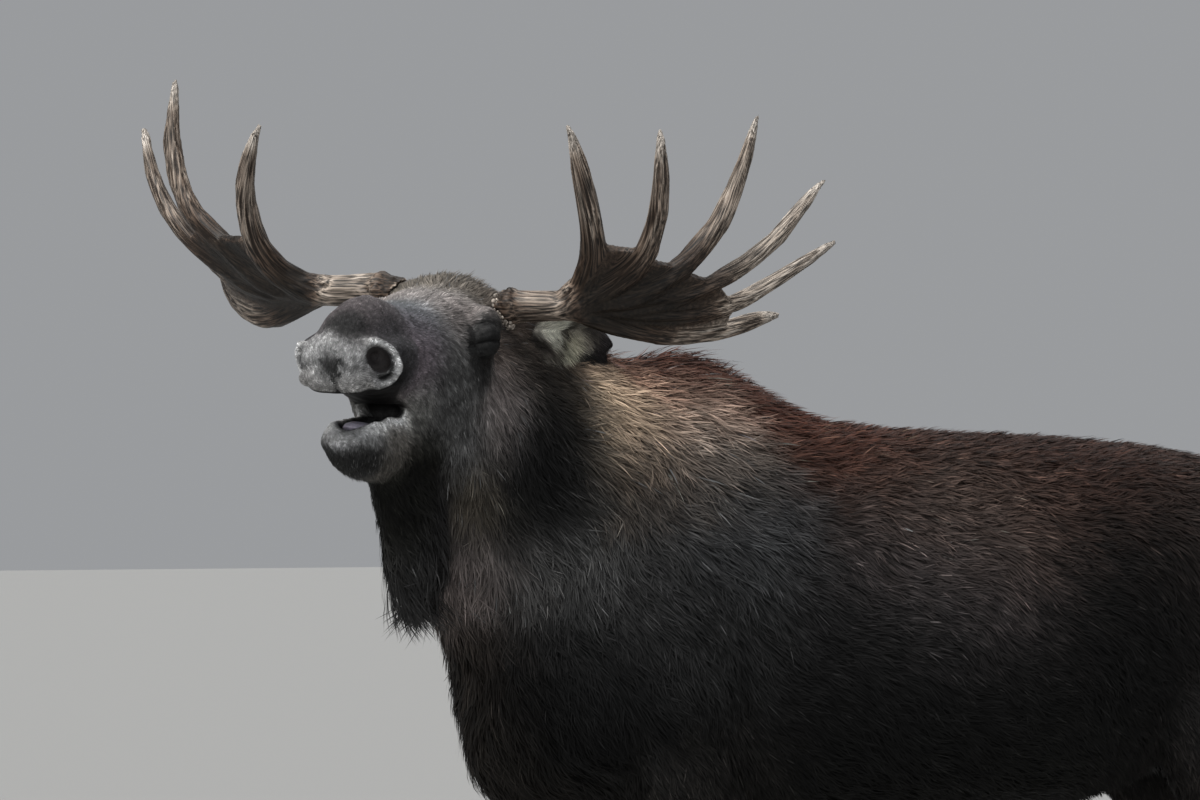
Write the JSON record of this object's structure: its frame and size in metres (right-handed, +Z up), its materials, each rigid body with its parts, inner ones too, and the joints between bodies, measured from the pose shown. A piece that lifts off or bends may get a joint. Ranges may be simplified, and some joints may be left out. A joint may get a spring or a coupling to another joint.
{
  "type": "moose",
  "caption": "Standing bull moose, life size, with palmate antlers, head raised and turned to its left, mouth open, and a bell under the throat.",
  "frame": {"origin": "on the floor, under the middle of the box round the whole animal, antlers included", "axes": "+Z up; -Y is the way the body faces, so the head end is at -Y; +X is the side of the animal's left flank"},
  "size_m": [1.224, 2.5606, 2.4431],
  "materials": {
    "coat": "coarse dark fur, browner on the hump and neck, greyer on face and legs",
    "antler": "hard ridged bone, brown, paler at the tips",
    "hoof": "smooth dark horn with fine ridges",
    "eye": "wet gloss, nearly black",
    "tongue": "moist, grey lilac"
  },
  "bodies": {
    "root": {"antler_left_beam": "antler", "antler_left_brow": "antler", "antler_left_palm": "antler", "antler_right_beam": "antler", "antler_right_brow": "antler", "antler_right_palm": "antler", "dewclaw_front_left_inner": "hoof", "dewclaw_front_left_outer": "hoof", "dewclaw_front_right_inner": "hoof", "dewclaw_front_right_outer": "hoof", "dewclaw_hind_left_inner": "hoof", "dewclaw_hind_left_outer": "hoof", "dewclaw_hind_right_inner": "hoof", "dewclaw_hind_right_outer": "hoof", "dewlap": "coat", "ear_left": "coat", "ear_right": "coat", "eye_left": "eye", "eye_right": "eye", "head": "coat", "hoof_front_left_inner": "hoof", "hoof_front_left_outer": "hoof", "hoof_front_right_inner": "hoof", "hoof_front_right_outer": "hoof", "hoof_hind_left_inner": "hoof", "hoof_hind_left_outer": "hoof", "hoof_hind_right_inner": "hoof", "hoof_hind_right_outer": "hoof", "jaw": "coat", "leg_front_left_lower": "coat", "leg_front_left_upper": "coat", "leg_front_right_lower": "coat", "leg_front_right_upper": "coat", "leg_hind_left_lower": "coat", "leg_hind_left_upper": "coat", "leg_hind_right_lower": "coat", "leg_hind_right_upper": "coat", "neck": "coat", "tail": "coat", "tongue": "tongue", "trunk": "coat"}
  },
  "joints": []
}
